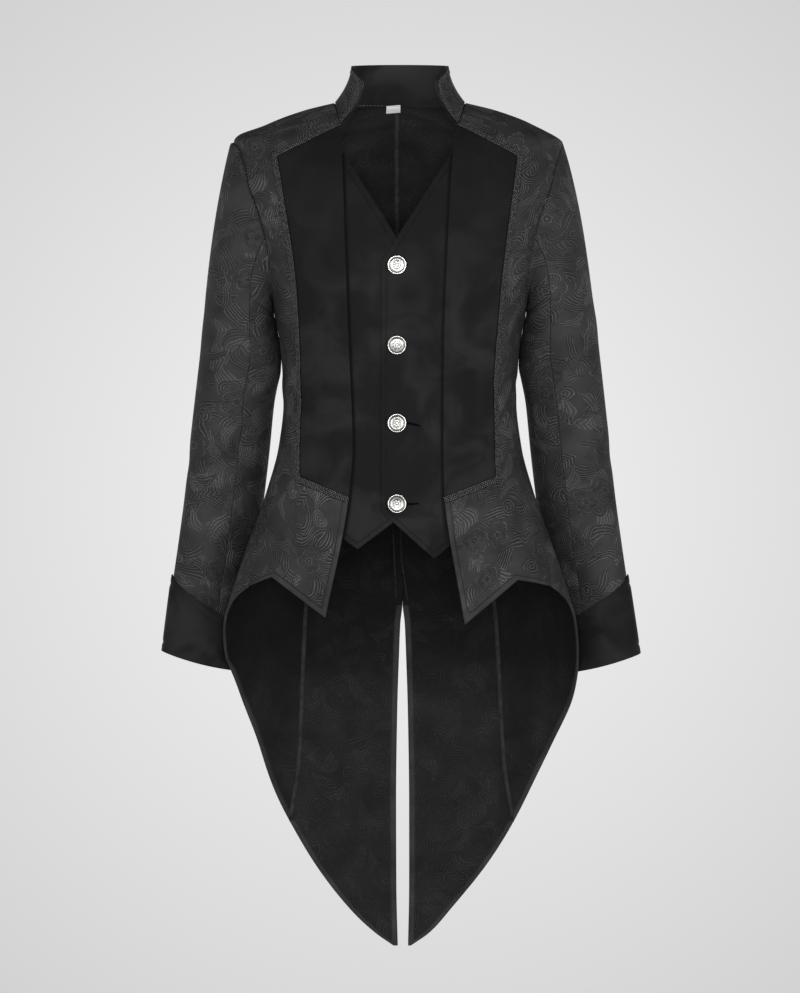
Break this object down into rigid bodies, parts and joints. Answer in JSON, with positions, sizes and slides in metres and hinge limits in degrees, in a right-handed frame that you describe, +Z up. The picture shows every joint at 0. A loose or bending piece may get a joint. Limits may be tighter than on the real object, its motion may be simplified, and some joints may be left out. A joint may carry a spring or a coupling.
{
  "type": "tailcoat",
  "caption": "Formal tailcoat with stand collar, velvet front insets edged with braid, buttoned waistcoat front, turned-up cuffs and two pointed tails, filled out as worn.",
  "frame": {"origin": "base of the neck, on the centre line, level with the points where the shoulder seams meet the collar", "axes": "+Z up along the body, -Y out of the chest, +X to the wearer's left"},
  "size_m": [0.6461, 0.2987, 1.1984],
  "materials": {
    "brocade": "black woven brocade, satin scrolls on a matt ground",
    "velvet": "black cotton velvet, short pile",
    "braid": "black gimp braid, openwork",
    "silver": "pressed metal shell, bright silver-coloured plating, worn soft",
    "tape": "white woven tape"
  },
  "bodies": {
    "root": {"back_centre_right": "brocade", "back_side_right": "brocade", "front_right": "brocade", "velvet_panel_right": "velvet", "waistcoat_right": "velvet", "sleeve_upper_right": "brocade", "sleeve_under_right": "brocade", "cuff_right": "velvet", "braid_front_right": "braid", "braid_collar_right": "braid", "back_centre_left": "brocade", "back_side_left": "brocade", "front_left": "brocade", "velvet_panel_left": "velvet", "waistcoat_left": "velvet", "sleeve_upper_left": "brocade", "sleeve_under_left": "brocade", "cuff_left": "velvet", "braid_front_left": "braid", "braid_collar_left": "braid", "collar_outer": "brocade", "collar_inner": "velvet", "button_1": "silver", "button_2": "silver", "button_3": "silver", "button_4": "silver", "neck_label": "tape"}
  },
  "joints": []
}
